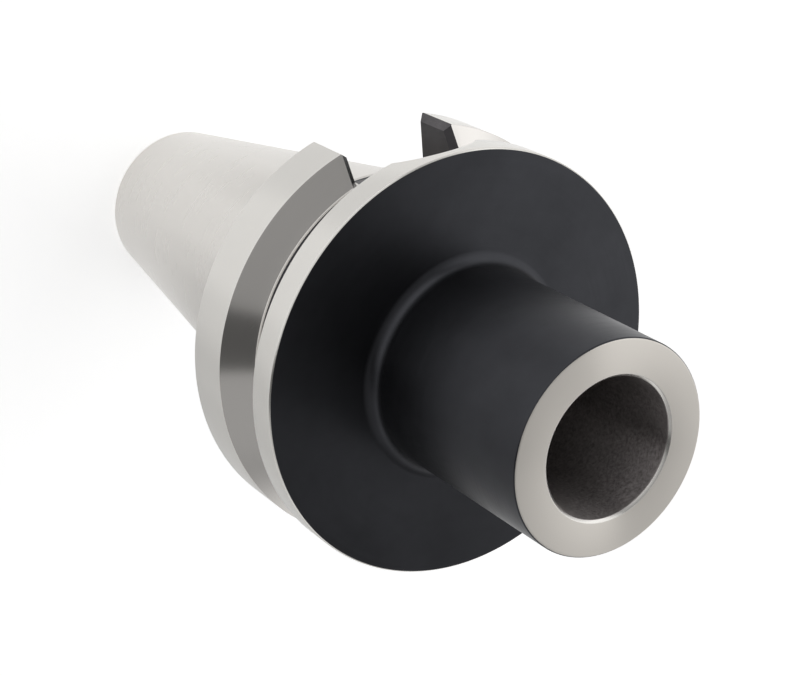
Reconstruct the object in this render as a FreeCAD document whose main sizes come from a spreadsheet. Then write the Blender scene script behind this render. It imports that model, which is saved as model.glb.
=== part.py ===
import FreeCAD, Part
import Sketcher
import math
import os
import re

# Morse taper holder: No. 50 steep-taper shank, No. 4 Morse socket and a captive draw screw.
# Millimetres. Z runs along the axis towards the nose, and Z = 0 is the gauge plane, where the
# shank's cone has its gauge diameter. The drive slots face +Y and -Y.

# Driving dimensions: name, value, meaning
SIZES = [
    ("gauge_diameter", 69.85, "cone diameter at the gauge plane"),
    ("cone_run", 24.0, "length over which the cone narrows by cone_drop"),
    ("cone_drop", 7.0, "loss of diameter over cone_run"),
    ("shank_length", 101.8, "gauge plane to the small end"),
    ("small_end_chamfer", 1.5, "break of the small end's outer edge"),
    ("relief_depth", 0.425, "grinding relief behind the flange, below the gauge radius"),
    ("flange_offset", 3.0, "gauge plane to the flange's rear face"),
    ("flange_thickness", 35.0, "rear face to front face"),
    ("flange_diameter", 100.0, "outside diameter"),
    ("flange_rear_chamfer", 1.0, "break of the rear land's outer edge"),
    ("flange_front_chamfer", 0.4, "break of the front land's outer edge"),
    ("groove_distance", 23.2, "gauge plane to the middle of the V-groove"),
    ("groove_width", 15.0, "width of the V-groove at the outside diameter"),
    ("groove_depth", 6.7, "depth of the V-groove below the flange's outside"),
    ("groove_flank_angle", 30.0, "flank to the plane square to the axis, degrees"),
    ("slot_width", 25.7, "width of a drive slot"),
    ("slot_floor_distance", 35.4, "axis to a drive slot's flat floor"),
    ("slot_front_wall", 4.2, "front face to the round end of a drive slot"),
    ("slot_chamfer", 1.9, "break of a drive slot's edges on the outside diameter"),
    ("slot_flank_chamfer", 1.6, "break of a drive slot's edges on the V-groove's flanks"),
    ("slot_rear_chamfer", 2.5, "break of a drive slot's edges at the rear face"),
    ("nose_projection", 90.0, "gauge plane to the nose's end face"),
    ("nose_diameter", 48.0, "outside diameter of the nose"),
    ("nose_fillet", 3.0, "radius between nose and flange"),
    ("nose_chamfer", 0.5, "break of the nose's outer edge"),
    ("socket_diameter", 31.267, "Morse No. 4 gauge diameter at the nose's end face"),
    ("socket_taper", 19.254, "length over which the socket narrows by 1 mm in diameter"),
    ("socket_relief_diameter", 26.5, "clearance bore at the bottom of the socket"),
    ("socket_depth", 107.0, "nose's end face to the bottom of the socket"),
    ("socket_mouth_chamfer", 0.6, "break of the socket's mouth"),
    ("pilot_diameter", 25.0, "pull-stud pilot bore at the small end"),
    ("pilot_depth", 13.0, "small end to the start of the pull-stud thread"),
    ("pilot_chamfer", 1.0, "break of the pilot bore's mouth"),
    ("stud_thread_minor", 20.752, "minor diameter of the M24 pull-stud thread"),
    ("rear_hole_depth", 62.0, "small end to the draw screw's seat"),
    ("draw_hole_diameter", 17.0, "hole for the screw through the wall between the bores"),
    ("screw_diameter", 16.0, "outside diameter of the M16 thread"),
    ("screw_reach", 28.5, "length of screw that stands in the socket"),
    ("screw_end_chamfer", 1.4, "break of the thread's end"),
    ("screw_head_clearance", 0.1, "screw head to the bore around it, on each side"),
    ("screw_end_play", 0.3, "screw head to its seat, and to the ring, along the axis"),
    ("screw_head_length", 14.0, "length of the screw's head"),
    ("screw_head_chamfer", 0.8, "break of the head's edge at the key end"),
    ("key_width", 10.0, "hexagon key, across flats"),
    ("key_depth", 8.0, "depth of the hexagon socket"),
    ("ring_thickness", 1.0, "retaining ring along the axis"),
    ("ring_groove_diameter", 22.0, "bottom of the ring's groove"),
    ("ring_groove_play", 0.1, "groove width beyond the ring's thickness"),
    ("ring_seat_clearance", 0.05, "ring's outside to the groove's bottom, on each side"),
    ("ring_width", 2.0, "radial width of the ring"),
    ("ring_gap", 2.4, "opening between the ring's ends"),
    ("ring_lug_radius", 1.9, "radius of the round lug at each of the ring's ends"),
    ("ring_lug_reach", 4.1, "ring's outside to the lugs' innermost point"),
    ("ring_lug_hole_diameter", 1.7, "plier hole in each lug"),
]

# Sizes that follow from the driving dimensions, as formulas of their names. Heights are on Z.
FORMULAS = {
    "small_end_radius": "(gauge_diameter - shank_length * cone_drop / cone_run) / 2",
    "relief_radius": "gauge_diameter / 2 - relief_depth",
    "flange_front": "flange_offset + flange_thickness",
    "groove_rear": "groove_distance - groove_width / 2",
    "groove_front": "groove_distance + groove_width / 2",
    "groove_bottom_radius": "flange_diameter / 2 - groove_depth",
    "groove_drop": "groove_depth * tan(groove_flank_angle * 1deg)",
    "slot_end_centre": "flange_front - slot_front_wall - slot_width / 2",
    "slot_mouth_width": "slot_width + 2 * slot_rear_chamfer",
    "socket_cone_depth": "(socket_diameter - socket_relief_diameter) * socket_taper",
    "socket_bottom": "nose_projection - socket_depth",
    "thread_start": "pilot_depth - shank_length",
    "screw_seat": "rear_hole_depth - shank_length",
    "screw_head_front": "screw_seat - screw_end_play",
    "screw_head_radius": "stud_thread_minor / 2 - screw_head_clearance",
    "screw_shank_length": "socket_bottom + screw_reach - screw_head_front",
    "ring_front": "screw_head_front - screw_head_length - screw_end_play",
    "ring_rear": "ring_front - ring_thickness",
    "ring_outer_radius": "ring_groove_diameter / 2 - ring_seat_clearance",
    "ring_lug_across": "ring_gap / 2 + ring_lug_radius",
    "ring_lug_distance": "ring_outer_radius - ring_lug_reach + ring_lug_radius",
    "ring_lug_up": "sqrt(ring_lug_distance ^ 2 - ring_lug_across ^ 2)",
}
SIZE_NAMES = {name for name, value, meaning in SIZES}

doc = FreeCAD.newDocument("MorseTaperHolder")


def make_sheet():
    """One row for each driving dimension: its meaning, and its value under its alias."""
    new_sheet = doc.addObject("Spreadsheet::Sheet", "Sizes")
    for row, (name, value, meaning) in enumerate(SIZES, start=1):
        new_sheet.set(f"A{row}", meaning)
        new_sheet.set(f"B{row}", str(value))
        new_sheet.setAlias(f"B{row}", name)
    doc.recompute()
    return new_sheet


sheet = make_sheet()


def bound(formula):
    """Turn a formula of size names into an expression on the sheet's cells."""
    def cell(match):
        word = match.group(0)
        if word in FORMULAS:
            return f"({bound(FORMULAS[word])})"
        return f"Sizes.{word}" if word in SIZE_NAMES else word
    return re.sub(r"[a-z_]+", cell, formula)


# Sketches and features

def origin_part(body, role):
    """One of a body's own origin planes or axes, such as XZ_Plane."""
    return next(item for item in body.Origin.OriginFeatures if item.Role == role)


def new_body(name, height="0"):
    """A body whose own origin lies on the axis, at a height given by a formula."""
    body = doc.addObject("PartDesign::Body", name)
    body.Label = name
    body.Placement = FreeCAD.Placement()
    body.setExpression("Placement.Base.z", bound(height))
    return body


def new_sketch(body, name, role, offset="0"):
    """A sketch on one of the body's origin planes, moved along its normal by a formula."""
    sketch = body.newObject("Sketcher::SketchObject", name)
    sketch.AttachmentSupport = [(origin_part(body, role), "")]
    sketch.MapMode = "FlatFace"
    sketch.setExpression("AttachmentOffset.Base.z", bound(offset))
    return sketch


def bind_value(sketch, constraint, formula):
    """Add a constraint whose value follows a formula."""
    index = sketch.addConstraint(constraint)
    sketch.setExpression(f"Constraints[{index}]", bound(formula))


def bind_point(sketch, element, end, across, up):
    """Hold one end of a sketch element at the place that two formulas give."""
    rough = sketch.getPoint(element, end)
    bind_value(sketch, Sketcher.Constraint("DistanceX", -1, 1, element, end, rough.x), across)
    bind_value(sketch, Sketcher.Constraint("DistanceY", -1, 1, element, end, rough.y), up)


def join_ends(sketch, count):
    """Join each of the first elements to the next, and the last to the first."""
    for element in range(count):
        following = (element + 1) % count
        sketch.addConstraint(Sketcher.Constraint("Coincident", element, 2, following, 1))


def draw_outline(sketch, corners):
    """Closed outline of straight lines. Each corner is the pair of formulas that place it."""
    count = len(corners)
    turn = 2 * math.pi / count
    rough = [FreeCAD.Vector(math.cos(turn * i), math.sin(turn * i), 0) for i in range(count)]
    for element in range(count):
        line = Part.LineSegment(rough[element], rough[(element + 1) % count])
        sketch.addGeometry(line, False)
    join_ends(sketch, count)
    for element, (across, up) in enumerate(corners):
        bind_point(sketch, element, 1, across, up)


def draw_circle(sketch, radius, across="0", up="0"):
    """A circle whose radius and centre are formulas."""
    element = sketch.addGeometry(Part.Circle(), False)
    bind_point(sketch, element, 3, across, up)
    bind_value(sketch, Sketcher.Constraint("Radius", element, 1.0), radius)


def turn_outline(body, corners):
    """Turn an outline of (radius, height) corners about the Z axis."""
    sketch = new_sketch(body, body.Name + "_outline", "XZ_Plane")
    draw_outline(sketch, corners)
    turning = body.newObject("PartDesign::Revolution", body.Name + "_turning")
    turning.Profile = sketch
    turning.ReferenceAxis = (sketch, ["V_Axis"])
    turning.Angle = 360.0


def pad(body, name, sketch, length):
    """Add a sketch's area, raised along Z by a formula."""
    feature = body.newObject("PartDesign::Pad", name)
    feature.Profile = sketch
    feature.setExpression("Length", bound(length))


def break_edges(body, kind, name, size, wanted):
    """Chamfer or fillet the edges whose points all pass a test."""
    doc.recompute()
    base = body.Tip
    names = [f"Edge{number}" for number, edge in enumerate(base.Shape.Edges, start=1)
             if all(wanted(point) for point in edge.discretize(9))]
    feature = body.newObject(f"PartDesign::{kind}", name)
    feature.Base = (base, names)
    feature.setExpression("Radius" if kind == "Fillet" else "Size", bound(size))


# The holder's one-piece body

HOLDER_OUTLINE = [
    ("pilot_diameter / 2 + pilot_chamfer", "-shank_length"),
    ("small_end_radius - small_end_chamfer", "-shank_length"),
    ("small_end_radius + small_end_chamfer * cone_drop / cone_run / 2",
     "small_end_chamfer - shank_length"),
    ("gauge_diameter / 2", "0"),
    ("relief_radius", "relief_depth"),
    ("relief_radius", "flange_offset"),
    ("flange_diameter / 2 - flange_rear_chamfer", "flange_offset"),
    ("flange_diameter / 2", "flange_offset + flange_rear_chamfer"),
    ("flange_diameter / 2", "groove_rear"),
    ("groove_bottom_radius", "groove_rear + groove_drop"),
    ("groove_bottom_radius", "groove_front - groove_drop"),
    ("flange_diameter / 2", "groove_front"),
    ("flange_diameter / 2", "flange_front - flange_front_chamfer"),
    ("flange_diameter / 2 - flange_front_chamfer", "flange_front"),
    ("nose_diameter / 2", "flange_front"),
    ("nose_diameter / 2", "nose_projection - nose_chamfer"),
    ("nose_diameter / 2 - nose_chamfer", "nose_projection"),
    ("socket_diameter / 2 + socket_mouth_chamfer", "nose_projection"),
    ("(socket_diameter - socket_mouth_chamfer / socket_taper) / 2",
     "nose_projection - socket_mouth_chamfer"),
    ("socket_relief_diameter / 2", "nose_projection - socket_cone_depth"),
    ("socket_relief_diameter / 2", "socket_bottom"),
    ("draw_hole_diameter / 2", "socket_bottom"),
    ("draw_hole_diameter / 2", "screw_seat"),
    ("stud_thread_minor / 2", "screw_seat"),
    ("stud_thread_minor / 2", "ring_front"),
    ("ring_groove_diameter / 2", "ring_front"),
    ("ring_groove_diameter / 2", "ring_rear - ring_groove_play"),
    ("stud_thread_minor / 2", "ring_rear - ring_groove_play"),
    ("stud_thread_minor / 2", "thread_start + (pilot_diameter - stud_thread_minor) / 2"),
    ("pilot_diameter / 2", "thread_start"),
    ("pilot_diameter / 2", "pilot_chamfer - shank_length"),
]

# A drive slot seen along Y: its round end upwards, flared where it opens at the rear face
SLOT_OUTLINE = [
    ("-slot_width / 2", "slot_end_centre"),
    ("-slot_width / 2", "flange_offset + slot_rear_chamfer"),
    ("-slot_mouth_width / 2", "flange_offset"),
    ("-slot_mouth_width / 2", "0"),
    ("slot_mouth_width / 2", "0"),
    ("slot_mouth_width / 2", "flange_offset"),
    ("slot_width / 2", "flange_offset + slot_rear_chamfer"),
    ("slot_width / 2", "slot_end_centre"),
]


def draw_slot(sketch):
    """The slot's straight sides, joined over the top by half a circle."""
    count = len(SLOT_OUTLINE)
    radius = sheet.slot_width / 2
    top = FreeCAD.Vector(0, sheet.flange_thickness, 0)
    turn = math.pi / (count - 1)
    rough = [top + radius * FreeCAD.Vector(-math.cos(turn * i), -math.sin(turn * i), 0)
             for i in range(count)]
    for start, end in zip(rough, rough[1:]):
        sketch.addGeometry(Part.LineSegment(start, end), False)
    circle = Part.Circle(top, FreeCAD.Vector(0, 0, 1), radius)
    arc = sketch.addGeometry(Part.ArcOfCircle(circle, 0, math.pi), False)
    join_ends(sketch, count)
    for element, (across, up) in enumerate(SLOT_OUTLINE):
        bind_point(sketch, element, 1, across, up)
    bind_value(sketch, Sketcher.Constraint("DistanceY", -1, 1, arc, 3, top.y), "slot_end_centre")


def cut_drive_slots(body):
    """One slot, cut outwards from its flat floor, and its copy on the other side of the axis."""
    sketch = new_sketch(body, "drive_slot_outline", "XZ_Plane", "slot_floor_distance")
    draw_slot(sketch)
    slot = body.newObject("PartDesign::Pocket", "drive_slot")
    slot.Profile = sketch
    slot.Type = "ThroughAll"
    slot.Reversed = True
    both = body.newObject("PartDesign::PolarPattern", "both_drive_slots")
    both.Originals = [slot]
    both.Axis = (origin_part(body, "Z_Axis"), [""])
    both.Angle = 360.0
    both.Occurrences = 2
    body.Tip = both


def near(first, second):
    """Whether two lengths agree to a thousandth of a millimetre."""
    return abs(first - second) < 0.001


def radius_of(point):
    """Distance from the Z axis."""
    return math.hypot(point.x, point.y)


def on_slot_wall(point):
    """Whether a point lies on the side walls or the round end of a drive slot."""
    end_centre = (sheet.flange_offset + sheet.flange_thickness
                  - sheet.slot_front_wall - sheet.slot_width / 2)
    if point.z < end_centre:
        return near(abs(point.x), sheet.slot_width / 2)
    return near(math.hypot(point.x, point.z - end_centre), sheet.slot_width / 2)


def on_groove_flank(point):
    """Whether a point lies on one of the V-groove's two conical flanks."""
    depth = sheet.flange_diameter / 2 - radius_of(point)
    half_width = sheet.groove_width / 2 - depth * math.tan(math.radians(sheet.groove_flank_angle))
    return depth > -0.001 and near(abs(point.z - sheet.groove_distance), half_width)


def make_holder_body():
    """Shank, flange, nose and bores, turned, then the drive slots and the broken edges."""
    body = new_body("holder_body")
    turn_outline(body, HOLDER_OUTLINE)
    cut_drive_slots(body)
    break_edges(body, "Chamfer", "slot_edge_chamfer", "slot_chamfer",
                lambda p: on_slot_wall(p) and near(radius_of(p), sheet.flange_diameter / 2))
    break_edges(body, "Chamfer", "slot_flank_edge_chamfer", "slot_flank_chamfer",
                lambda p: on_slot_wall(p) and on_groove_flank(p))
    front = sheet.flange_offset + sheet.flange_thickness
    break_edges(body, "Fillet", "nose_base_fillet", "nose_fillet",
                lambda p: near(radius_of(p), sheet.nose_diameter / 2) and near(p.z, front))
    return body


# The draw screw, with its own origin where its head meets its shank

SCREW_OUTLINE = [
    ("0", "-screw_head_length"),
    ("screw_head_radius - screw_head_chamfer", "-screw_head_length"),
    ("screw_head_radius", "screw_head_chamfer - screw_head_length"),
    ("screw_head_radius", "0"),
    ("screw_diameter / 2", "0"),
    ("screw_diameter / 2", "screw_shank_length - screw_end_chamfer"),
    ("screw_diameter / 2 - screw_end_chamfer", "screw_shank_length"),
    ("0", "screw_shank_length"),
]


def make_draw_screw():
    """Cylinder-head screw whose hexagon socket opens towards the small end."""
    body = new_body("draw_screw", "screw_head_front")
    turn_outline(body, SCREW_OUTLINE)
    sketch = new_sketch(body, "key_outline", "XY_Plane", "-screw_head_length")
    corner_radius = "key_width / sqrt(3)"
    draw_outline(sketch, [(f"{corner_radius} * cos({angle}deg)", f"{corner_radius} * sin({angle}deg)")
                          for angle in range(0, 360, 60)])
    socket = body.newObject("PartDesign::Pocket", "key_socket")
    socket.Profile = sketch
    socket.Reversed = True
    socket.setExpression("Length", bound("key_depth"))
    return body


# The retaining ring, with its own origin in its rear face

def draw_lug_circles(sketch, radius):
    """A circle at each of the two lugs' centres."""
    for side in ("-", ""):
        draw_circle(sketch, radius, side + "ring_lug_across", "ring_lug_up")


def make_retaining_ring():
    """Flat spring ring for a bore, open at +Y, with a lug and a plier hole at each end."""
    body = new_body("retaining_ring", "ring_rear")
    band = new_sketch(body, "ring_band_outline", "XY_Plane")
    draw_circle(band, "ring_outer_radius")
    draw_circle(band, "ring_outer_radius - ring_width")
    pad(body, "ring_band", band, "ring_thickness")
    lugs = new_sketch(body, "ring_lug_outline", "XY_Plane")
    draw_lug_circles(lugs, "ring_lug_radius")
    pad(body, "ring_lugs", lugs, "ring_thickness")
    openings = new_sketch(body, "ring_opening_outline", "XY_Plane")
    draw_outline(openings, [
        ("-ring_gap / 2", "0"),
        ("ring_gap / 2", "0"),
        ("ring_gap / 2", "ring_groove_diameter"),
        ("-ring_gap / 2", "ring_groove_diameter"),
    ])
    draw_lug_circles(openings, "ring_lug_hole_diameter / 2")
    cut = body.newObject("PartDesign::Pocket", "ring_openings")
    cut.Profile = openings
    cut.Type = "ThroughAll"
    cut.Reversed = True
    return body


def check_document(bodies):
    """Stop if any object has failed, or if a piece isn't one valid solid."""
    for item in doc.Objects:
        if "Invalid" in item.State or "Error" in item.State:
            raise RuntimeError(f"{item.Name} failed: {item.State}")
    for body in bodies:
        shape = body.Shape
        if shape.isNull() or not shape.isValid() or len(shape.Solids) != 1:
            raise RuntimeError(f"{body.Label} isn't one valid solid")


bodies = [make_holder_body(), make_draw_screw(), make_retaining_ring()]
doc.recompute()
check_document(bodies)
os.makedirs("parts", exist_ok=True)
for body in bodies:
    body.Shape.exportStep(f"parts/{body.Label}.step")
    print(f"{body.Label}: {body.Shape.Volume:.1f} mm3, {body.Shape.BoundBox}")
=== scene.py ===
import math

import bmesh
import bpy
import numpy as np
from mathutils import Matrix, Vector


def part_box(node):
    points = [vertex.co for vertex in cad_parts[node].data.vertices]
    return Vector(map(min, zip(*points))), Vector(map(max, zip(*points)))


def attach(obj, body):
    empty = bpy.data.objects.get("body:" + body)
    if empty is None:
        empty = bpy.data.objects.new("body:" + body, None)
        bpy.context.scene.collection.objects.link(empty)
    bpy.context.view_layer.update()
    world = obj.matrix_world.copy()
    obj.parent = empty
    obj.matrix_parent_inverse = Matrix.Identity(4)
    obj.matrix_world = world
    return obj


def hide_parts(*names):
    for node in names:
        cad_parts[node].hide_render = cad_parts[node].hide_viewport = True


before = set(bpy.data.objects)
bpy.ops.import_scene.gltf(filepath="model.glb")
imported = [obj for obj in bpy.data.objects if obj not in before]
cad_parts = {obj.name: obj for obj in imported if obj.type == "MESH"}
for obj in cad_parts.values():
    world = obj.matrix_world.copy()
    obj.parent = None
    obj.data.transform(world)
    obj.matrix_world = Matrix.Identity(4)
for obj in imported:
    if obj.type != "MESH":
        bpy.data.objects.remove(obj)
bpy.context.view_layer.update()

# Morse taper holder: looks of its three pieces. The meshes are drawn in millimetres and turned
# into metres when they are made. Z is the holder's axis, Z = 0 its gauge plane.

MM = 0.001

# Steps and tolerances
FACETS = 360
FACET_ANGLES = np.arange(FACETS) * 2 * math.pi / FACETS
EASE_STEPS = 3
FILLET_STEPS = 12
FILLET_FROM = 1.0   # roundings with this setback or more have the fillet's steps
SLOT_ARC_STEPS = 64
WEDGE_STEPS = 16
DISC_SIDES = 96
SMOOTH_UP_TO = 25   # degrees between two faces that are still shaded as one surface
SAME_PLACE = 1e-7   # metres
NO_LENGTH = 1e-8   # metres
SAME_SEAM = 1e-6   # metres
SAME_RADIUS = 0.01   # millimetres
OVERRUN = 1.0   # how far a cutter goes on past the surface that it cuts

# Setbacks of the small roundings on turned edges
BORE_EASE = 0.05
MOUTH_EASE = 0.06
SHARP_EASE = 0.1
GROOVE_EASE = 0.12
FACE_EASE = 0.15
RIM_EASE = 0.2
SOFT_EASE = 0.3
CORNER_EASE = 0.5

holder_low, holder_high = (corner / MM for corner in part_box("holder_body"))
screw_low, screw_high = (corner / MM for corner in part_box("draw_screw"))
ring_low, ring_high = (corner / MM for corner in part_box("retaining_ring"))

# Shank
SMALL_END = holder_low.z
GAUGE_RADIUS = 69.85 / 2
CONE_SLOPE = 7 / 24 / 2
SMALL_END_RADIUS = GAUGE_RADIUS + SMALL_END * CONE_SLOPE
SMALL_END_CHAMFER = 1.5
RELIEF_DEPTH = 0.425
RELIEF_RADIUS = GAUGE_RADIUS - RELIEF_DEPTH

# Flange
FLANGE_RADIUS = holder_high.x
FLANGE_REAR = 3.0
FLANGE_FRONT = 38.0
REAR_CHAMFER = 1.0
FRONT_CHAMFER = 0.4
GROOVE_MIDDLE = 23.2
GROOVE_WIDTH = 15.0
GROOVE_REAR = GROOVE_MIDDLE - GROOVE_WIDTH / 2
GROOVE_FRONT = GROOVE_MIDDLE + GROOVE_WIDTH / 2
GROOVE_DEPTH = 6.7
GROOVE_RUN_OUT = 0.7   # bright strip of the bottom beside the rear flank
FLANK_SLOPE = math.tan(math.radians(30))
GROOVE_BOTTOM_RADIUS = FLANGE_RADIUS - GROOVE_DEPTH
GROOVE_BOTTOM_REAR = GROOVE_REAR + GROOVE_DEPTH * FLANK_SLOPE
GROOVE_BOTTOM_FRONT = GROOVE_FRONT - GROOVE_DEPTH * FLANK_SLOPE

# Drive slots
SLOT_HALF_WIDTH = 25.7 / 2
SLOT_FLOOR = 35.4
SLOT_FRONT_WALL = 4.2
SLOT_END_CENTRE = FLANGE_FRONT - SLOT_FRONT_WALL - SLOT_HALF_WIDTH
SLOT_RIM_CHAMFER = 1.9
SLOT_FLANK_CHAMFER = 1.6
SLOT_REAR_CHAMFER = 2.5
SLOT_CUTTER_HEIGHT = 10.0   # above the flange
SLOT_MOUTH_OVERRUN = 2.0
RIM_WEDGE_OVERRUN = 3.0
FLANK_WEDGE_ABOVE = 1.6   # above the groove's mouth
FLANK_WEDGE_BELOW = 1.44   # below the groove's bottom
WEDGE_OVERSHOOT = 0.25   # share of its width by which a wedge goes past the edges of its cut
GROOVE_BOTTOM_GAP = 0.015   # between the groove's bottom and where the flanks' wedges stop

# Nose and Morse socket
NOSE_END = holder_high.z
NOSE_RADIUS = 24.0
NOSE_FILLET = 3.0
NOSE_CHAMFER = 0.35   # the solid's is 0.5, which shows too wide beside the photograph
SOCKET_RADIUS = 31.267 / 2
SOCKET_SLOPE = 1 / 19.254 / 2
SOCKET_CHAMFER = 0.6
SOCKET_RELIEF_RADIUS = 26.5 / 2
SOCKET_RELIEF_FRONT = NOSE_END - (SOCKET_RADIUS - SOCKET_RELIEF_RADIUS) / SOCKET_SLOPE
SOCKET_DEPTH = 107.0
SOCKET_BOTTOM = NOSE_END - SOCKET_DEPTH

# Rear bores
DRAW_HOLE_RADIUS = 8.5
SCREW_SEAT_DEPTH = 62.0
SCREW_SEAT = SMALL_END + SCREW_SEAT_DEPTH
PILOT_RADIUS = 12.5
PILOT_DEPTH = 13.0
PILOT_BOTTOM = SMALL_END + PILOT_DEPTH
PILOT_CHAMFER = 1.0
STUD_PITCH = 3.0
STUD_MINOR_RADIUS = 20.752 / 2
STUD_MAJOR_RADIUS = 12.0
STUD_THREAD_KNOTS = [(0.0, 0.0), (0.25, 0.0), (0.5625, 1.0), (0.6875, 1.0)]
STUD_THREAD_REAR = PILOT_BOTTOM + PILOT_RADIUS - STUD_MINOR_RADIUS
RING_GROOVE_RADIUS = 11.0
RING_GROOVE_FRONT = ring_high.z
RING_GROOVE_PLAY = 0.1
RING_GROOVE_REAR = ring_low.z - RING_GROOVE_PLAY

# Draw screw
SCREW_HEAD_PLAY = 0.1
SCREW_HEAD_RADIUS = STUD_MINOR_RADIUS - SCREW_HEAD_PLAY
SCREW_HEAD_LENGTH = 14.0
SCREW_HEAD_FRONT = screw_low.z + SCREW_HEAD_LENGTH
SCREW_HEAD_CHAMFER = 0.8
SCREW_NECK_FILLET = 0.4
SCREW_RADIUS = 8.0
SCREW_PITCH = 2.0
SCREW_ROOT_RADIUS = 13.546 / 2
SCREW_THREAD_KNOTS = [(0.0, 0.0), (0.125, 0.0), (0.4375, 1.0), (0.6875, 1.0)]
SCREW_THREAD_START = 4.0   # behind the socket's bottom
SCREW_THREAD_REAR = SOCKET_BOTTOM - SCREW_THREAD_START
SCREW_END_CHAMFER = 1.4
KEY_HALF_WIDTH = 5.0
KEY_CORNER = KEY_HALF_WIDTH / math.cos(math.pi / 6)
KEY_DEPTH = 8.0
KEY_POINT_SLOPE = 0.28
KEY_POINT_DEPTH = KEY_POINT_SLOPE * KEY_CORNER
KEY_POINT_WIDTH = 0.05   # share of the key's width at the end of its drilled point
KEY_MOUTH = 0.5
KEY_MOUTH_DEPTH = 0.75

# Retaining ring
RING_RADIUS = 21.9 / 2
RING_WIDTH = 2.0
RING_GAP = 2.4
RING_LUG_RADIUS = 1.9
RING_LUG_REACH = 4.1
RING_HOLE_RADIUS = 0.85

# Every finish is a material slot of the holder's mesh, in this order.
FINISHES = [
    "ground_cone",
    "ground_rim",
    "ground_groove",
    "ground_end",
    "ground_socket",
    "oxide_turned",
    "oxide_milled",
    "oxide_edge_painted_highlight",
    "oxide_bore",
    "screw_oxide",
    "spring_steel",
]


# Outlines

def round_corner(before, corner, after, setback, steps):
    """Points of the arc that rounds a corner. The points are complex numbers, radius + height i."""
    towards_before = (before - corner) / abs(before - corner)
    towards_after = (after - corner) / abs(after - corner)
    both = towards_before + towards_after
    centre = corner + both * 2 * setback / abs(both) ** 2
    start = corner + towards_before * setback - centre
    end = corner + towards_after * setback - centre
    turn = np.angle(end / start)
    return [centre + start * np.exp(1j * turn * step / steps) for step in range(steps + 1)]


def eased(corners):
    """Round the corners of a closed outline.

    A corner is (radius, height, finish that follows, setback). A fifth part names the finish of
    the rounding itself where that isn't the finish that follows.
    """
    points = []
    finishes = []
    places = [complex(corner[0], corner[1]) for corner in corners]
    for index, (radius, height, finish, setback, *own) in enumerate(corners):
        if setback:
            steps = EASE_STEPS if setback < FILLET_FROM else FILLET_STEPS
            arc = round_corner(places[index - 1], places[index],
                               places[(index + 1) % len(places)], setback, steps)
        else:
            arc = [places[index]]
        points += arc
        finishes += (own or [finish]) * (len(arc) - 1) + [finish]
    return points, finishes


# Meshes

def new_object(name, verts, faces, finishes):
    """A mesh object from vertices in millimetres, with the index of a finish for each face."""
    mesh = bpy.data.meshes.new(name)
    mesh.from_pydata([tuple(v) for v in np.asarray(verts) * MM], [], faces)
    for finish in FINISHES:
        mesh.materials.append(bpy.data.materials[finish])
    mesh.polygons.foreach_set("material_index", finishes)
    mesh.update()
    piece = bpy.data.objects.new(name, mesh)
    bpy.context.scene.collection.objects.link(piece)
    return piece


def around(radii, heights):
    """Points at some radii and heights, at every facet's angle about the axis."""
    across = radii * np.cos(FACET_ANGLES)
    up = radii * np.sin(FACET_ANGLES)
    return np.stack([across, up, heights + 0 * FACET_ANGLES], axis=-1).reshape(-1, 3)


def turned(name, corners):
    """A closed outline turned once about the axis. An outline on the axis closes onto it."""
    points, finishes = eased(corners)
    radii = np.array([point.real for point in points])[:, None]
    heights = np.array([point.imag for point in points])[:, None]
    faces = []
    indices = []
    for row, finish in enumerate(finishes):
        above = (row + 1) % len(points)
        if radii[row, 0] == 0 and radii[above, 0] == 0:
            continue
        for column in range(FACETS):
            beside = (column + 1) % FACETS
            faces.append((row * FACETS + column, row * FACETS + beside,
                          above * FACETS + beside, above * FACETS + column))
            indices.append(FINISHES.index(finish))
    return tidied(new_object(name, around(radii, heights), faces, indices))


def tidied(piece):
    """Join doubled points, drop faces without area, and turn all faces outwards."""
    mesh = bmesh.new()
    mesh.from_mesh(piece.data)
    bmesh.ops.remove_doubles(mesh, verts=mesh.verts, dist=SAME_PLACE)
    bmesh.ops.dissolve_degenerate(mesh, edges=mesh.edges, dist=NO_LENGTH)
    bmesh.ops.recalc_face_normals(mesh, faces=mesh.faces)
    mesh.to_mesh(piece.data)
    mesh.free()
    return piece


def strip(name, rings, finish):
    """A solid whose like sections follow one another, each a list of points."""
    count = len(rings[0])
    verts = [point for ring in rings for point in ring]
    faces = []
    for index in range(len(rings) - 1):
        for side in range(count):
            beside = (side + 1) % count
            faces.append((index * count + side, index * count + beside,
                          (index + 1) * count + beside, (index + 1) * count + side))
    faces.append(tuple(range(count)))
    faces.append(tuple(range(len(verts) - count, len(verts))))
    return tidied(new_object(name, verts, faces, [FINISHES.index(finish)] * len(faces)))


def combine(piece, tools, operation):
    """Apply boolean operations to a piece, one tool after the other, and remove the tools."""
    for tool in tools:
        modifier = piece.modifiers.new("combine", "BOOLEAN")
        modifier.operation = operation
        modifier.solver = "EXACT"
        modifier.material_mode = "INDEX"
        modifier.object = tool
        shown = piece.evaluated_get(bpy.context.evaluated_depsgraph_get())
        made = bpy.data.meshes.new_from_object(shown)
        piece.modifiers.clear()
        piece.data = made
        bpy.data.objects.remove(tool)
    return piece


def opposite(piece):
    """A copy of a piece, half a turn about the axis away."""
    copy = piece.copy()
    copy.data = piece.data.copy()
    copy.data.transform(Matrix.Rotation(math.pi, 4, "Z"))
    bpy.context.scene.collection.objects.link(copy)
    return copy


def shaded(piece):
    """Smooth shading, with a crease wherever two faces meet at a sharper angle."""
    piece.data.shade_smooth()
    piece.data.set_sharp_from_angle(angle=math.radians(SMOOTH_UP_TO))
    return piece


# Threads

THREAD_RUN_OUT = 0.6   # pitches
SPARE_TURNS = 2   # drawn beyond each end of the thread, and clipped there


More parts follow.
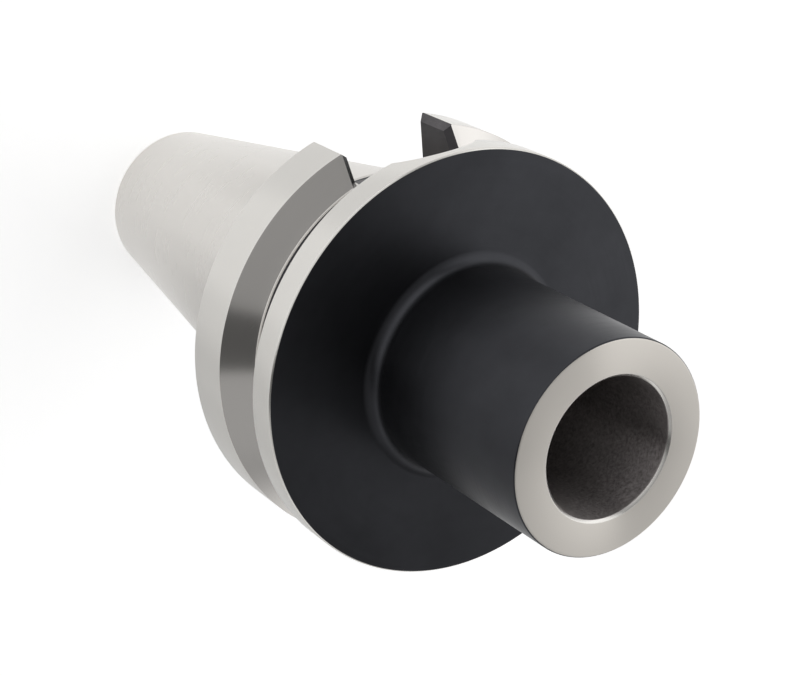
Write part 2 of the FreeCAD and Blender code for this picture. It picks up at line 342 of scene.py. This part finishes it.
def thread_surface(name, crest, root, pitch, rear, front, finish, profile):
    """A helical surface between two heights, which runs out to the crest's radius at each end.

    A point of the profile is its place along the pitch and its depth, both as shares.
    """
    turns = range(-SPARE_TURNS, math.ceil((front - rear) / pitch) + SPARE_TURNS)
    knots = [(turn + place, depth) for turn in turns for place, depth in profile]
    place = np.array([knot[0] for knot in knots])[:, None]
    depth = np.array([knot[1] for knot in knots])[:, None]
    heights = rear + pitch * (place + FACET_ANGLES / (2 * math.pi))
    heights = np.clip(heights, rear, front)
    fade = np.clip(np.minimum(heights - rear, front - heights) / (THREAD_RUN_OUT * pitch), 0, 1)
    radii = crest + (root - crest) * depth * fade
    faces = []
    for row in range(len(knots) - len(profile) - 1):
        for column in range(FACETS):
            on = row + len(profile) if column == FACETS - 1 else row
            beside = (column + 1) % FACETS
            faces.append((row * FACETS + column, on * FACETS + beside,
                          (on + 1) * FACETS + beside, (row + 1) * FACETS + column))
    index = FINISHES.index(finish)
    return tidied(new_object(name, around(radii, heights), faces, [index] * len(faces)))


def threaded(piece, surface, radius, rear, front):
    """Put a thread's surface in place of the plain stretch of a piece between two heights."""
    mesh = bmesh.new()
    mesh.from_mesh(piece.data)
    plain = []
    for face in mesh.faces:
        middle = face.calc_center_median() / MM
        aside = abs(math.hypot(middle.x, middle.y) - radius)
        if rear < middle.z < front and aside < SAME_RADIUS:
            plain.append(face)
    bmesh.ops.delete(mesh, geom=plain, context="FACES")
    mesh.from_mesh(surface.data)
    bmesh.ops.remove_doubles(mesh, verts=mesh.verts, dist=SAME_SEAM)
    bmesh.ops.recalc_face_normals(mesh, faces=mesh.faces)
    mesh.to_mesh(piece.data)
    mesh.free()
    bpy.data.objects.remove(surface)


# Holder

def holder_corners():
    """The holder's outline, from the small end along the outside and back through the bores."""
    return [
        (PILOT_RADIUS + PILOT_CHAMFER, SMALL_END, "oxide_turned", SHARP_EASE),
        (SMALL_END_RADIUS - SMALL_END_CHAMFER, SMALL_END, "ground_cone", FACE_EASE),
        (SMALL_END_RADIUS + SMALL_END_CHAMFER * CONE_SLOPE, SMALL_END + SMALL_END_CHAMFER,
         "ground_cone", SOFT_EASE),
        (GAUGE_RADIUS, 0.0, "ground_cone", SHARP_EASE),
        (RELIEF_RADIUS, RELIEF_DEPTH, "oxide_turned", SHARP_EASE),
        (RELIEF_RADIUS, FLANGE_REAR, "oxide_turned", CORNER_EASE),
        (FLANGE_RADIUS - REAR_CHAMFER, FLANGE_REAR, "ground_rim", FACE_EASE),
        (FLANGE_RADIUS, FLANGE_REAR + REAR_CHAMFER, "ground_rim", RIM_EASE),
        (FLANGE_RADIUS, GROOVE_REAR, "ground_groove", GROOVE_EASE),
        (GROOVE_BOTTOM_RADIUS, GROOVE_BOTTOM_REAR, "ground_groove", GROOVE_EASE),
        (GROOVE_BOTTOM_RADIUS, GROOVE_BOTTOM_REAR + GROOVE_RUN_OUT, "oxide_turned", 0),
        (GROOVE_BOTTOM_RADIUS, GROOVE_BOTTOM_FRONT, "ground_groove", RIM_EASE),
        (FLANGE_RADIUS, GROOVE_FRONT, "ground_rim", GROOVE_EASE),
        (FLANGE_RADIUS, FLANGE_FRONT - FRONT_CHAMFER, "ground_rim", SHARP_EASE),
        (FLANGE_RADIUS - FRONT_CHAMFER, FLANGE_FRONT, "oxide_turned", SHARP_EASE),
        (NOSE_RADIUS, FLANGE_FRONT, "oxide_turned", NOSE_FILLET),
        (NOSE_RADIUS, NOSE_END - NOSE_CHAMFER, "oxide_turned", SHARP_EASE),
        (NOSE_RADIUS - NOSE_CHAMFER, NOSE_END, "ground_end", FACE_EASE),
        (SOCKET_RADIUS + SOCKET_CHAMFER, NOSE_END, "ground_rim", MOUTH_EASE),
        (SOCKET_RADIUS - SOCKET_CHAMFER * SOCKET_SLOPE, NOSE_END - SOCKET_CHAMFER,
         "ground_socket", FACE_EASE),
        (SOCKET_RELIEF_RADIUS, SOCKET_RELIEF_FRONT, "oxide_bore", 0),
        (SOCKET_RELIEF_RADIUS, SOCKET_BOTTOM, "oxide_bore", CORNER_EASE),
        (DRAW_HOLE_RADIUS, SOCKET_BOTTOM, "oxide_bore", SOFT_EASE),
        (DRAW_HOLE_RADIUS, SCREW_SEAT, "oxide_bore", SOFT_EASE),
        (STUD_MINOR_RADIUS, SCREW_SEAT, "oxide_bore", BORE_EASE),
        (STUD_MINOR_RADIUS, RING_GROOVE_FRONT, "oxide_bore", BORE_EASE),
        (RING_GROOVE_RADIUS, RING_GROOVE_FRONT, "oxide_bore", 0),
        (RING_GROOVE_RADIUS, RING_GROOVE_REAR, "oxide_bore", 0),
        (STUD_MINOR_RADIUS, RING_GROOVE_REAR, "oxide_bore", 0),
        (STUD_MINOR_RADIUS, STUD_THREAD_REAR, "oxide_bore", 0),
        (PILOT_RADIUS, PILOT_BOTTOM, "oxide_bore", 0),
        (PILOT_RADIUS, SMALL_END + PILOT_CHAMFER, "oxide_bore", SHARP_EASE),
    ]


def below_groove():
    """All the metal below the groove's bottom, which the flanks' chamfers don't reach."""
    radius = GROOVE_BOTTOM_RADIUS + GROOVE_BOTTOM_GAP
    return turned("below_groove", [
        (0, GROOVE_REAR - GROOVE_WIDTH, "ground_groove", 0),
        (radius, GROOVE_REAR - GROOVE_WIDTH, "ground_groove", 0),
        (radius, GROOVE_FRONT + GROOVE_WIDTH, "ground_groove", 0),
        (0, GROOVE_FRONT + GROOVE_WIDTH, "ground_groove", 0),
    ])


def slot_wall_at(height, side):
    """A drive slot's wall at a height, on one side: its X, and its normal into the metal."""
    rise = max(height - SLOT_END_CENTRE, 0.0)
    across = side * math.sqrt(max(SLOT_HALF_WIDTH ** 2 - rise ** 2, 0.0))
    return across, Vector((across, 0, rise)).normalized()


def wedge_section(across, height, into, radius, outward_radial, outward_height, size):
    """Section of the cutter that breaks the edge between the slot's wall and a turned surface."""
    up = math.sqrt(radius ** 2 - across ** 2)
    edge = Vector((across, up, height))
    outward = Vector((across / radius * outward_radial, up / radius * outward_radial,
                      outward_height))
    along_surface = (into - into.dot(outward) * outward).normalized()
    along_wall = -(outward - outward.dot(into) * into).normalized()
    on_wall = edge + size * along_wall
    on_surface = edge + size * along_surface
    overshoot = WEDGE_OVERSHOOT * (on_surface - on_wall)
    return [on_wall - overshoot, on_surface + overshoot, edge + size * (outward - into)]


def rim_wedge():
    """Cutter for the slot's edge on the flange's outside, all the way round the slot."""
    sections = [wedge_section(*wall_start(-1), FLANGE_RADIUS, 1, 0, SLOT_RIM_CHAMFER)]
    for step in range(SLOT_ARC_STEPS + 1):
        angle = math.pi * (1 - step / SLOT_ARC_STEPS)
        across = SLOT_HALF_WIDTH * math.cos(angle)
        height = SLOT_END_CENTRE + SLOT_HALF_WIDTH * math.sin(angle)
        into = Vector((math.cos(angle), 0, math.sin(angle)))
        sections.append(wedge_section(across, height, into, FLANGE_RADIUS, 1, 0,
                                      SLOT_RIM_CHAMFER))
    sections.append(wedge_section(*wall_start(1), FLANGE_RADIUS, 1, 0, SLOT_RIM_CHAMFER))
    # its finish is the painted-highlight copy of the milled oxide
    return strip("rim_wedge", sections, "oxide_edge_painted_highlight")


def wall_start(side):
    """Where the cutter along one wall of the slot starts, with the wall's normal into the metal."""
    return side * SLOT_HALF_WIDTH, FLANGE_REAR - RIM_WEDGE_OVERRUN, Vector((side, 0, 0))


def flank_wedge(side, facing):
    """Cutter for the slot's edge on one flank of the groove. A flank that faces the nose is 1."""
    sections = []
    height_of_wedge = FLANK_WEDGE_ABOVE + GROOVE_DEPTH + FLANK_WEDGE_BELOW
    for step in range(WEDGE_STEPS + 1):
        depth = -FLANK_WEDGE_ABOVE + height_of_wedge * step / WEDGE_STEPS
        radius = FLANGE_RADIUS - depth
        drop = depth * FLANK_SLOPE
        height = GROOVE_REAR + drop if facing > 0 else GROOVE_FRONT - drop
        across, into = slot_wall_at(height, side)
        flat = math.hypot(1, FLANK_SLOPE)
        sections.append(wedge_section(across, height, into, radius, FLANK_SLOPE / flat,
                                      facing / flat, SLOT_FLANK_CHAMFER))
    return combine(strip("flank_wedge", sections, "oxide_milled"), [below_groove()], "DIFFERENCE")


def slot_cutter():
    """The slot itself: straight walls, a round end and a flared mouth, over a flat floor."""
    mouth = SLOT_HALF_WIDTH + SLOT_REAR_CHAMFER + SLOT_MOUTH_OVERRUN
    rear = FLANGE_REAR - SLOT_MOUTH_OVERRUN
    outline = [(-SLOT_HALF_WIDTH, FLANGE_REAR + SLOT_REAR_CHAMFER), (-mouth, rear), (mouth, rear),
               (SLOT_HALF_WIDTH, FLANGE_REAR + SLOT_REAR_CHAMFER)]
    for step in range(SLOT_ARC_STEPS + 1):
        angle = math.pi * step / SLOT_ARC_STEPS
        outline.append((SLOT_HALF_WIDTH * math.cos(angle),
                        SLOT_END_CENTRE + SLOT_HALF_WIDTH * math.sin(angle)))
    rings = [[(across, up, height) for across, height in outline]
             for up in (SLOT_FLOOR, FLANGE_RADIUS + SLOT_CUTTER_HEIGHT)]
    return strip("slot_cutter", rings, "oxide_milled")


def make_holder():
    """Shank, flange, nose and bores in one piece."""
    holder = turned("holder", holder_corners())
    wedges = [rim_wedge()]
    wedges += [flank_wedge(side, facing) for side in (-1, 1) for facing in (-1, 1)]
    wedges += [opposite(wedge) for wedge in wedges]
    combine(holder, wedges, "DIFFERENCE")
    slot = slot_cutter()
    combine(holder, [slot, opposite(slot)], "DIFFERENCE")
    thread = thread_surface("stud_thread", STUD_MINOR_RADIUS, STUD_MAJOR_RADIUS, STUD_PITCH,
                            STUD_THREAD_REAR, RING_GROOVE_REAR, "oxide_bore", STUD_THREAD_KNOTS)
    threaded(holder, thread, STUD_MINOR_RADIUS, STUD_THREAD_REAR, RING_GROOVE_REAR)
    return shaded(holder)


# Draw screw

def make_screw():
    """Cylinder-head screw with its thread in the socket and its key towards the small end."""
    thread_front = screw_high.z - SCREW_END_CHAMFER
    screw = turned("screw", [
        (0, screw_low.z, "screw_oxide", 0),
        (SCREW_HEAD_RADIUS - SCREW_HEAD_CHAMFER, screw_low.z, "screw_oxide", SHARP_EASE),
        (SCREW_HEAD_RADIUS, screw_low.z + SCREW_HEAD_CHAMFER, "screw_oxide", RIM_EASE),
        (SCREW_HEAD_RADIUS, SCREW_HEAD_FRONT, "screw_oxide", RIM_EASE),
        (SCREW_RADIUS, SCREW_HEAD_FRONT, "screw_oxide", SCREW_NECK_FILLET),
        (SCREW_RADIUS, SCREW_THREAD_REAR, "screw_oxide", 0),
        (SCREW_RADIUS, thread_front, "screw_oxide", 0),
        (SCREW_RADIUS - SCREW_END_CHAMFER, screw_high.z, "screw_oxide", SHARP_EASE),
        (0, screw_high.z, "screw_oxide", 0),
    ])
    start = screw_low.z - OVERRUN
    key_top = screw_low.z + KEY_DEPTH
    sections = []
    for height, scale in ((start, 1), (key_top, 1), (key_top + KEY_POINT_DEPTH, KEY_POINT_WIDTH)):
        sections.append([(KEY_CORNER * scale * math.cos(math.pi * side / 3),
                          KEY_CORNER * scale * math.sin(math.pi * side / 3), height)
                         for side in range(6)])
    key = strip("key", sections, "screw_oxide")
    mouth = turned("key_mouth", [
        (0, start, "screw_oxide", 0),
        (KEY_CORNER + OVERRUN + KEY_MOUTH / 2, start, "screw_oxide", 0),
        (KEY_CORNER - KEY_MOUTH, screw_low.z + KEY_MOUTH_DEPTH, "screw_oxide", 0),
        (0, screw_low.z + KEY_MOUTH_DEPTH, "screw_oxide", 0),
    ])
    combine(screw, [key, mouth], "DIFFERENCE")
    thread = thread_surface("screw_thread", SCREW_RADIUS, SCREW_ROOT_RADIUS, SCREW_PITCH,
                            SCREW_THREAD_REAR, thread_front, "screw_oxide", SCREW_THREAD_KNOTS)
    threaded(screw, thread, SCREW_RADIUS, SCREW_THREAD_REAR, thread_front)
    return shaded(screw)


# Retaining ring

def plate(name, outline, extra):
    """A flat plate as thick as the ring, and thicker by the extra on each side."""
    heights = (ring_low.z - extra, ring_high.z + extra)
    return strip(name, [[(x, y, height) for x, y in outline] for height in heights],
                 "spring_steel")


def disc(name, radius, across=0.0, up=0.0, extra=0.0):
    """A round plate."""
    angles = [2 * math.pi * side / DISC_SIDES for side in range(DISC_SIDES)]
    outline = [(across + radius * math.cos(angle), up + radius * math.sin(angle))
               for angle in angles]
    return plate(name, outline, extra)


def make_ring():
    """Flat spring ring, open at +Y, with a plier hole in the lug at each end."""
    lug_across = RING_GAP / 2 + RING_LUG_RADIUS
    lug_distance = RING_RADIUS - RING_LUG_REACH + RING_LUG_RADIUS
    lug_up = math.sqrt(lug_distance ** 2 - lug_across ** 2)
    ring = disc("ring", RING_RADIUS)
    combine(ring, [disc("ring_bore", RING_RADIUS - RING_WIDTH, extra=OVERRUN)], "DIFFERENCE")
    for side in (-1, 1):
        combine(ring, [disc("lug", RING_LUG_RADIUS, side * lug_across, lug_up)], "UNION")
    gap = [(-RING_GAP / 2, 0), (RING_GAP / 2, 0), (RING_GAP / 2, 2 * RING_RADIUS),
           (-RING_GAP / 2, 2 * RING_RADIUS)]
    combine(ring, [plate("ring_gap", gap, OVERRUN)], "DIFFERENCE")
    for side in (-1, 1):
        combine(ring, [disc("hole", RING_HOLE_RADIUS, side * lug_across, lug_up, extra=OVERRUN)],
                "DIFFERENCE")
    return shaded(ring)


# Materials

ACROSS_MARKS = 0.25   # a quarter turn: turning marks blur what they reflect across themselves
ALONG_MARKS = 2.0   # how fast the noise of turning marks changes along them
ALONG_GRAIN = 22.0   # how fast the noise of a bored wall's grain changes along it
RADIUS_SHARE = 1.3   # part of the radius in the marks' height, so that end faces have them too
NOISE_LOW = 0.3   # noise is seldom below this
NOISE_HIGH = 0.7   # and seldom above this
MILLED_ALONG = 400   # changes in a metre
MILLED_ACROSS = 4000   # changes in a metre
OXIDE_MARKS = 3   # in a millimetre
FINE_SHARE = 0.25   # of the marks in ground steel's colour, the rest is clouds
GRAIN_SHARE = 0.3   # of the grain in the height of black oxide, beside the marks
MIX_FIRST, MIX_SECOND, MIX_RESULT = 6, 7, 2   # a Mix node's sockets for colours


class Nodes:
    """A node tree, with helpers that add nodes to it."""

    def __init__(self, tree):
        self.tree = tree

    def add(self, kind, values=None, **settings):
        """A new node with some of its settings and input values."""
        node = self.tree.nodes.new(kind)
        for name, value in settings.items():
            setattr(node, name, value)
        self.set(node, values or {})
        return node

    def set(self, node, values):
        """Give values to a node's inputs, and link those that are another node's output."""
        for name, value in values.items():
            if isinstance(value, bpy.types.NodeSocket):
                self.tree.links.new(value, node.inputs[name])
            else:
                node.inputs[name].default_value = value

    def maths(self, operation, *values):
        """A maths node's result."""
        node = self.add("ShaderNodeMath", dict(enumerate(values)), operation=operation)
        return node.outputs[0]

    def vector_maths(self, operation, *values):
        """The vector that a vector maths node makes."""
        node = self.add("ShaderNodeVectorMath", dict(enumerate(values)), operation=operation)
        return node.outputs["Vector"]

    def along(self, vector, axis):
        """How far a vector reaches along an axis."""
        node = self.add("ShaderNodeVectorMath", {0: vector, 1: axis}, operation="DOT_PRODUCT")
        return node.outputs["Value"]

    def fade(self, value, none_at, full_at):
        """A smooth step, 0 at one value and 1 at another."""
        node = self.add("ShaderNodeMapRange", {"Value": value, "From Min": none_at,
                                               "From Max": full_at},
                        interpolation_type="SMOOTHSTEP")
        return node.outputs["Result"]


class Finish(Nodes):
    """A material whose surface is one metal shader."""

    def __init__(self, name, colour, roughness, anisotropy):
        material = bpy.data.materials.new(name)
        material.use_nodes = True
        material.diffuse_color = (*colour, 1)
        super().__init__(material.node_tree)
        self.shader = self.tree.nodes["Principled BSDF"]
        self.set(self.shader, {"Base Color": (*colour, 1), "Metallic": 1.0,
                               "Roughness": roughness, "Anisotropic": anisotropy})
        self.colour = colour
        self.roughness = roughness
        if anisotropy:
            tangent = self.add("ShaderNodeTangent", direction_type="RADIAL", axis="Z")
            self.set(self.shader, {"Tangent": tangent.outputs["Tangent"],
                                   "Anisotropic Rotation": ACROSS_MARKS})
        self.place = self.add("ShaderNodeTexCoord").outputs["Object"]

    def around_axis(self, fine, slow=ALONG_MARKS):
        """Coordinates that change fast across the turning marks and slowly along them."""
        parts = self.add("ShaderNodeSeparateXYZ", {0: self.place})
        flat = self.vector_maths("MULTIPLY", self.place, (1, 1, 0))
        radius = self.add("ShaderNodeVectorMath", {0: flat}, operation="LENGTH")
        outward = self.vector_maths("NORMALIZE", flat)
        turn = self.add("ShaderNodeSeparateXYZ", {0: outward})
        across = self.maths("MULTIPLY_ADD", radius.outputs["Value"], RADIUS_SHARE,
                            parts.outputs[2])
        joined = self.add("ShaderNodeCombineXYZ", {
            0: self.maths("MULTIPLY", turn.outputs[0], slow),
            1: self.maths("MULTIPLY", turn.outputs[1], slow),
            2: self.maths("MULTIPLY", across, fine)})
        return joined.outputs[0]

    def noise(self, where, scale, detail=2.0, rough=0.5):
        """Grey noise, about a half on average."""
        node = self.add("ShaderNodeTexNoise", {"Vector": where, "Scale": scale,
                                               "Detail": detail, "Roughness": rough})
        return node.outputs["Fac"]

    def between(self, factor, low, high):
        """Map noise from its usual span onto another span."""
        node = self.add("ShaderNodeMapRange", {"Value": factor, "From Min": NOISE_LOW,
                                               "From Max": NOISE_HIGH, "To Min": low,
                                               "To Max": high})
        return node.outputs["Result"]

    def vary_colour(self, factor, low, high):
        """Make the colour darker and lighter with noise, by shares of the colour."""
        node = self.add("ShaderNodeMix", {"Factor": self.between(factor, 0, 1)}, data_type="RGBA")
        for entry, share in ((MIX_FIRST, low), (MIX_SECOND, high)):
            node.inputs[entry].default_value = (*(share * part for part in self.colour), 1)
        self.set(self.shader, {"Base Color": node.outputs[MIX_RESULT]})

    def vary_roughness(self, factor, low, high):
        """Make the surface sharper and duller with noise, by shares of the roughness."""
        self.set(self.shader, {"Roughness": self.between(factor, low * self.roughness,
                                                         high * self.roughness)})

    def raise_by(self, height, depth):
        """Bump by a height from 0 to 1, with its depth in millimetres."""
        bump = self.add("ShaderNodeBump", {"Height": height, "Distance": depth * MM,
                                           "Strength": 1.0})
        self.set(self.shader, {"Normal": bump.outputs["Normal"]})


def ground_steel(name, colour, roughness, anisotropy, marks):
    """Ground steel with faint marks around the axis. Marks is how many there are in a millimetre."""
    finish = Finish(name, colour, roughness, anisotropy)
    fine = finish.noise(finish.around_axis(marks / MM), scale=1.0)
    cloud = finish.noise(finish.place, scale=25.0)
    mixed = finish.maths("MULTIPLY_ADD", fine, FINE_SHARE,
                         finish.maths("MULTIPLY", cloud, 1 - FINE_SHARE))
    finish.vary_colour(mixed, low=0.985, high=1.015)
    finish.vary_roughness(fine, low=0.97, high=1.03)
    finish.raise_by(fine, depth=0.0001)


def bored_steel(name, colour, roughness, anisotropy, marks):
    """A bored wall with a coarse grain that follows the tool's path around the axis."""
    finish = Finish(name, colour, roughness, anisotropy)
    grain = finish.noise(finish.around_axis(marks / MM, ALONG_GRAIN), scale=1.0, detail=3.0,
                         rough=0.7)
    finish.vary_colour(grain, low=0.72, high=1.3)
    finish.vary_roughness(grain, low=0.85, high=1.15)
    finish.raise_by(grain, depth=0.006)


def black_oxide(name, colour, roughness, anisotropy, depth):
    """Black oxide over turned steel: faint marks, faint clouds and a slight bloom."""
    finish = Finish(name, colour, roughness, anisotropy)
    fine = finish.noise(finish.around_axis(OXIDE_MARKS / MM), scale=1.0)
    cloud = finish.noise(finish.place, scale=60.0, detail=4.0, rough=0.6)
    grain = finish.noise(finish.place, scale=5000.0)
    finish.vary_colour(cloud, low=0.9, high=1.12)
    finish.vary_roughness(fine, low=0.9, high=1.12)
    finish.raise_by(finish.maths("MULTIPLY_ADD", grain, GRAIN_SHARE, fine), depth)


def milled_oxide(name, colour, roughness):
    """Black oxide over a milled surface, whose marks run along the slot."""
    finish = Finish(name, colour, roughness, anisotropy=0)
    parts = finish.add("ShaderNodeSeparateXYZ", {0: finish.place})
    stretched = finish.add("ShaderNodeCombineXYZ", {
        0: finish.maths("MULTIPLY", parts.outputs[0], MILLED_ALONG),
        1: finish.maths("MULTIPLY", parts.outputs[1], MILLED_ACROSS),
        2: finish.maths("MULTIPLY", parts.outputs[2], MILLED_ALONG)})
    marks = finish.noise(stretched.outputs[0], scale=1.0, detail=3.0, rough=0.5)
    cloud = finish.noise(finish.place, scale=180.0, detail=3.0, rough=0.6)
    finish.vary_colour(cloud, low=0.85, high=1.2)
    finish.vary_roughness(marks, low=0.85, high=1.15)
    finish.raise_by(marks, depth=0.0015)


def make_materials():
    """One material for each finish."""
    ground_steel("ground_cone", (0.67, 0.65, 0.62), roughness=0.28, anisotropy=0.5, marks=0.8)
    ground_steel("ground_rim", (0.66, 0.645, 0.615), roughness=0.24, anisotropy=0.6, marks=0.8)
    ground_steel("ground_groove", (0.62, 0.60, 0.575), roughness=0.15, anisotropy=0.6, marks=1.4)
    ground_steel("ground_end", (0.63, 0.60, 0.558), roughness=0.38, anisotropy=0.9, marks=1.8)
    # painted shade: the socket's ground steel has about half the colour of the outside's ground
    # steel
    bored_steel("ground_socket", (0.335, 0.31, 0.305), roughness=0.38, anisotropy=0.9, marks=1.6)
    black_oxide("oxide_turned", (0.043, 0.044, 0.049), roughness=0.34, anisotropy=0.6, depth=0.001)
    milled_oxide("oxide_milled", (0.043, 0.041, 0.043), roughness=0.24)
    # painted highlight: the rim chamfer's milled oxide at twice the walls' colour, a lit copy of
    # oxide_milled
    milled_oxide("oxide_edge_painted_highlight", (0.092, 0.087, 0.091), roughness=0.28)
    black_oxide("oxide_bore", (0.05, 0.048, 0.048), roughness=0.40, anisotropy=0.3, depth=0.002)
    black_oxide("screw_oxide", (0.05, 0.05, 0.055), roughness=0.36, anisotropy=0.3, depth=0.002)
    black_oxide("spring_steel", (0.12, 0.12, 0.13), roughness=0.30, anisotropy=0.0, depth=0.001)


# Studio

FLOOR_SIZE = 8.0
FLOOR_WHITE = 0.9
FLOOR_ROUGHNESS = 0.9
FLOOR_GLOW = 0.48

# Painted shade for the holder's reflections: soft darker patches of the floor's glow, which only
# its reflections show: azimuth, half width and soft edge in degrees, and the share of the floor's
# glow that a patch takes away
FLOOR_PAINTED_SHADES = [(-122, 12, 50, 0.73), (-178, 4, 20, 0.32), (98, 8, 16, 0.27)]
PAINTED_SHADES_START = 0.02   # metres from the axis, where the painted shade begins
PAINTED_SHADES_FULL = 0.075   # metres from the axis, where the painted shade is as dark as it gets

SKY_GREY = 0.38
HORIZON_LIGHT = 0.62
HORIZON_LOW = 12   # elevation in degrees up to which the horizon is white
HORIZON_HIGH = 26   # elevation in degrees where it has faded away

# Rectangles of sky: azimuth, elevation, half width, half height and soft edge in degrees, and
# the light that a panel adds or the share of the light that a screen takes away
PANELS = [(5, 38, 36, 16, 12, 0.95), (128, 25, 39, 15, 8, 0.62), (-128, 44, 20, 14, 4, 0.1)]
SCREENS = [(-170, 41, 8, 29, 4, 0.7), (-62, 46, 11, 14, 5, 0.37)]


def make_floor():
    """A large pale floor at the small end's height."""
    half = FLOOR_SIZE / 2
    height = holder_low.z * MM
    mesh = bpy.data.meshes.new("floor")
    mesh.from_pydata([(-half, -half, height), (half, -half, height), (half, half, height),
                      (-half, half, height)], [], [(0, 1, 2, 3)])
    floor = bpy.data.objects.new("floor", mesh)
    bpy.context.scene.collection.objects.link(floor)
    material = bpy.data.materials.new("floor_white")
    material.use_nodes = True
    nodes = Nodes(material.node_tree)
    nodes.set(nodes.tree.nodes["Principled BSDF"], {
        "Base Color": (FLOOR_WHITE, FLOOR_WHITE, FLOOR_WHITE, 1), "Roughness": FLOOR_ROUGHNESS,
        "Specular IOR Level": 0.0, "Emission Color": (1, 1, 1, 1),
        "Emission Strength": floor_glow(nodes)})
    floor.data.materials.append(material)


def floor_glow(nodes):
    """The floor's own light for what shows it directly, and for reflections with patches of painted
    shade taken out of it.
    """
    path = nodes.add("ShaderNodeLightPath")
    place = nodes.add("ShaderNodeTexCoord").outputs["Object"]
    flat = nodes.vector_maths("MULTIPLY", place, (1, 1, 0))
    outward = nodes.vector_maths("NORMALIZE", flat)
    reach = nodes.add("ShaderNodeVectorMath", {0: flat}, operation="LENGTH")
    away = nodes.fade(reach.outputs["Value"], PAINTED_SHADES_START, PAINTED_SHADES_FULL)
    mirrored = path.outputs["Is Glossy Ray"]
    under_painted_shade = nodes.maths("MULTIPLY", away, mirrored)
    # painted shade: each patch dims the floor's glow for reflections only
    for azimuth, half_width, soft, share in FLOOR_PAINTED_SHADES:
        turn = math.radians(azimuth)
        ahead = nodes.along(outward, (math.cos(turn), math.sin(turn), 0))
        painted_shade = nodes.fade(ahead, math.cos(math.radians(half_width + soft)),
                          math.cos(math.radians(half_width)))
        taken = nodes.maths("MULTIPLY", painted_shade, under_painted_shade)
        mirrored = nodes.maths("MULTIPLY_ADD", taken, -share, mirrored)
    direct = nodes.maths("MAXIMUM", path.outputs["Is Camera Ray"],
                         path.outputs["Is Transmission Ray"])
    return nodes.maths("MULTIPLY", nodes.maths("MAXIMUM", direct, mirrored), FLOOR_GLOW)


class Sky(Nodes):
    """The studio around the holder: grey, with a white horizon, soft panels and dark screens."""

    def __init__(self, base):
        world = bpy.data.worlds.new("studio")
        bpy.context.scene.world = world
        world.use_nodes = True
        super().__init__(world.node_tree)
        self.direction = self.add("ShaderNodeTexCoord").outputs["Generated"]
        self.light = base

    def horizon(self, low, high, light):
        """Light below an elevation, which fades to nothing at a higher one."""
        rise = self.along(self.direction, (0, 0, 1))
        mask = self.fade(rise, math.sin(math.radians(high)), math.sin(math.radians(low)))
        self.light = self.maths("MULTIPLY_ADD", mask, light, self.light)

    def rectangle(self, azimuth, elevation, half_width, half_height, soft):
        """A mask for a rectangle of sky, with its place, halves and soft edge in degrees."""
        turn, rise = math.radians(azimuth), math.radians(elevation)
        centre = Vector((math.cos(rise) * math.cos(turn), math.cos(rise) * math.sin(turn),
                         math.sin(rise)))
        sideways = Vector((-math.sin(turn), math.cos(turn), 0))
        ahead = self.along(self.direction, centre)
        mask = self.maths("GREATER_THAN", ahead, 0)
        for axis, half in ((sideways, half_width), (centre.cross(sideways), half_height)):
            aside = self.along(self.direction, axis)
            angle = self.maths("ABSOLUTE", self.maths("ARCTAN2", aside, ahead))
            edge = self.fade(angle, math.radians(half + soft), math.radians(half))
            mask = self.maths("MULTIPLY", mask, edge)
        return mask

    def panel(self, *rectangle, light):
        """Add light to a rectangle."""
        self.light = self.maths("MULTIPLY_ADD", self.rectangle(*rectangle), light, self.light)

    def screen(self, *rectangle, share):
        """Take a share of the light away from a rectangle."""
        kept = self.maths("MULTIPLY_ADD", self.rectangle(*rectangle), -share, 1.0)
        self.light = self.maths("MULTIPLY", self.light, kept)

    def finish(self):
        """Show white to the camera and the studio's light to everything else."""
        path = self.add("ShaderNodeLightPath")
        shown = self.maths("MAXIMUM", self.light, path.outputs["Is Camera Ray"])
        self.set(self.tree.nodes["Background"], {"Color": (1, 1, 1, 1), "Strength": shown})


def make_studio():
    """The sky that lights the holder and that its surfaces reflect."""
    sky = Sky(SKY_GREY)
    sky.horizon(HORIZON_LOW, HORIZON_HIGH, HORIZON_LIGHT)
    for *rectangle, light in PANELS:
        sky.panel(*rectangle, light=light)
    for *rectangle, share in SCREENS:
        sky.screen(*rectangle, share=share)
    sky.finish()


# Camera, at the photograph's angle

CAMERA_PLACE = Vector((-0.22309, 0.19225, 0.37994))
CAMERA_RIGHT = Vector((0.83712, -0.06413, 0.54329))
CAMERA_UP = Vector((0.27360, 0.90908, -0.31425))
CAMERA_NEAR = 0.01
SENSOR_WIDTH = 36.0
FRAME_WIDTH = 811
FOCAL_LENGTH_PIXELS = 2020.99


def make_camera():
    """The camera, fitted to the photograph's outlines."""
    data = bpy.data.cameras.new("camera")
    data.sensor_fit = "HORIZONTAL"
    data.sensor_width = SENSOR_WIDTH
    data.lens = FOCAL_LENGTH_PIXELS * SENSOR_WIDTH / FRAME_WIDTH
    data.clip_start = CAMERA_NEAR
    camera = bpy.data.objects.new("camera", data)
    back = CAMERA_RIGHT.cross(CAMERA_UP).normalized()
    right = CAMERA_UP.cross(back).normalized()
    axes = Matrix((right, back.cross(right), back)).transposed().to_4x4()
    camera.matrix_world = Matrix.Translation(CAMERA_PLACE) @ axes
    bpy.context.scene.collection.objects.link(camera)
    bpy.context.scene.camera = camera


def put(piece, body, node):
    """Let a piece stand for a CAD node and move with its body."""
    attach(piece, body)
    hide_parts(node)


make_materials()
make_camera()
make_floor()
make_studio()
put(make_holder(), "holder", "holder_body")
put(make_screw(), "screw", "draw_screw")
put(make_ring(), "holder", "retaining_ring")
bpy.context.scene.view_settings.view_transform = "Standard"
